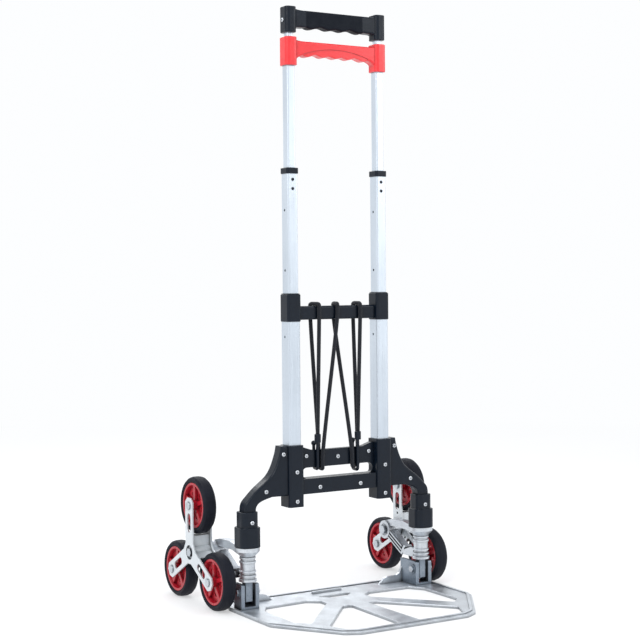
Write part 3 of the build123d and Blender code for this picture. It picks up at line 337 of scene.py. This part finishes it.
def sheathed(name, line, radius, pitch=0.0036, strands=8, sides=24):
    """A closed tube along line, whose UV map counts the braid's pitches and strands."""
    verts, faces, uvs = [], [], []
    heading = (line[1] - line[0]).normalized()
    across = heading.orthogonal().normalized()
    travelled = 0.0
    lengths = []
    for i, place in enumerate(line):
        ahead = (line[min(i + 1, len(line) - 1)] - line[max(i - 1, 0)]).normalized()
        across = (across - ahead * across.dot(ahead)).normalized()
        beside = ahead.cross(across)
        if i:
            travelled += (place - line[i - 1]).length
        lengths.append(travelled / pitch)
        for k in range(sides):
            turn = math.tau * k / sides
            verts.append(place + radius * (math.cos(turn) * across + math.sin(turn) * beside))
    for i in range(len(line) - 1):
        for k in range(sides):
            near, far = i * sides, (i + 1) * sides
            follow = (k + 1) % sides
            faces.append((near + k, near + follow, far + follow, far + k))
            v0, v1 = strands * k / sides, strands * (k + 1) / sides
            uvs += [(lengths[i], v0), (lengths[i], v1), (lengths[i + 1], v1), (lengths[i + 1], v0)]
    faces.append(tuple(reversed(range(sides))))
    faces.append(tuple(range((len(line) - 1) * sides, len(line) * sides)))
    uvs += [(0.0, 0.0)] * (2 * sides)
    mesh = bpy.data.meshes.new(name)
    mesh.from_pydata(verts, [], faces)
    layer = mesh.uv_layers.new(name="braid")
    for loop, uv in zip(layer.data, uvs):
        loop.uv = uv
    mesh.shade_smooth()
    obj = bpy.data.objects.new(name, mesh)
    scene.collection.objects.link(obj)
    return obj


sheath = sheathed("bungee_sheath", smooth_line(cord_route), CORD_R)
sheath.data.materials.append(FINISHES["cord_weave"])
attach(sheath, "frame")
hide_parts("bungee_cord")

# ---------------------------------------------------------------- floor, fading to plain white
FLOOR_HALF = 30.0
FADE_START, FADE_END = 0.5, 3.2
PAPER_WHITE = (0.98, 0.99, 1.0, 1.0)
floor_mesh = bpy.data.meshes.new("floor")
floor_mesh.from_pydata([(x * FLOOR_HALF, y * FLOOR_HALF, 0) for x, y in ((-1, -1), (1, -1), (1, 1), (-1, 1))],
                       [], [(0, 1, 2, 3)])
floor = bpy.data.objects.new("floor", floor_mesh)
scene.collection.objects.link(floor)
paper = Finish("floor_paper")
paper.colour(paper.ramp(paper.noise(3, 3), [(0.3, (0.90, 0.90, 0.90)), (0.7, (0.93, 0.93, 0.93))]))
paper.rough(paper.noise(30, 3), 0.75, 0.9)
distance = paper.node("ShaderNodeVectorMath", operation="LENGTH")
paper.link(paper.coords, distance.inputs[0])
glow = paper.node("ShaderNodeEmission")
glow.inputs["Color"].default_value = PAPER_WHITE
fade = paper.node("ShaderNodeMixShader")
paper.link(paper.span(distance.outputs["Value"], 0.45, 1.0, FADE_START, FADE_END), fade.inputs[0])
paper.link(paper.shader.outputs["BSDF"], fade.inputs[1])
paper.link(glow.outputs["Emission"], fade.inputs[2])
paper.link(fade.outputs["Shader"], paper.tree.nodes["Material Output"].inputs["Surface"])
floor_mesh.materials.append(paper.material)

# ---------------------------------------------------------------- sky, softboxes and camera
world = bpy.data.worlds.new("studio")
scene.world = world
world.use_nodes = True
sky = world.node_tree
sky_split = sky.nodes.new("ShaderNodeSeparateXYZ")
sky_ramp = sky.nodes.new("ShaderNodeValToRGB")
sky.links.new(sky.nodes.new("ShaderNodeTexCoord").outputs["Generated"], sky_split.inputs["Vector"])
sky.links.new(sky_split.outputs["Z"], sky_ramp.inputs["Fac"])
sky.links.new(sky_ramp.outputs["Color"], sky.nodes["Background"].inputs["Color"])
for stop, (position, colour) in zip(sky_ramp.color_ramp.elements,
                                    ((0.28, PAPER_WHITE), (0.75, (0.42, 0.44, 0.48, 1.0)))):
    stop.position, stop.color = position, colour


def softbox(name, place, target, width, height, watts):
    """A rectangular area light at a place, turned to its target."""
    light = bpy.data.lights.new(name, "AREA")
    light.shape, light.size, light.size_y, light.energy = "RECTANGLE", width, height, watts
    obj = bpy.data.objects.new(name, light)
    scene.collection.objects.link(obj)
    obj.location = place
    obj.rotation_euler = (Vector(target) - Vector(place)).to_track_quat("-Z", "Y").to_euler()


softbox("key", (-2.6, -1.4, 2.6), (0, 0, 0.5), 1.8, 1.8, 60)
softbox("fill", (2.4, -2.2, 1.8), (0, 0, 0.4), 1.6, 2.2, 25)
softbox("overhead", (0, 0, 3.4), (0, 0, 0), 2.6, 2.6, 45)
softbox("rim", (0.6, 2.6, 2.4), (0, 0, 0.5), 2.0, 1.4, 35)

CAMERA_PLACE = (-1.34845, -2.15752, 0.57241)
AZIMUTH, PITCH, ROLL = (math.radians(angle) for angle in (-31.2932, 1.72993, -0.479936))
camera_data = bpy.data.cameras.new("camera")
camera_data.sensor_width = 36.0
camera_data.lens = 81.25
camera = bpy.data.objects.new("camera", camera_data)
scene.collection.objects.link(camera)
back = Vector((math.sin(AZIMUTH) * math.cos(PITCH), -math.cos(AZIMUTH) * math.cos(PITCH), math.sin(PITCH)))
level_right = (-back).cross(Vector((0, 0, 1))).normalized()
level_up = level_right.cross(-back)
right = math.cos(ROLL) * level_right + math.sin(ROLL) * level_up
up = math.cos(ROLL) * level_up - math.sin(ROLL) * level_right
axes = Matrix((right, up, back)).transposed().to_4x4()
camera.matrix_world = Matrix.Translation(CAMERA_PLACE) @ axes
scene.camera = camera
scene.view_settings.view_transform = "Standard"
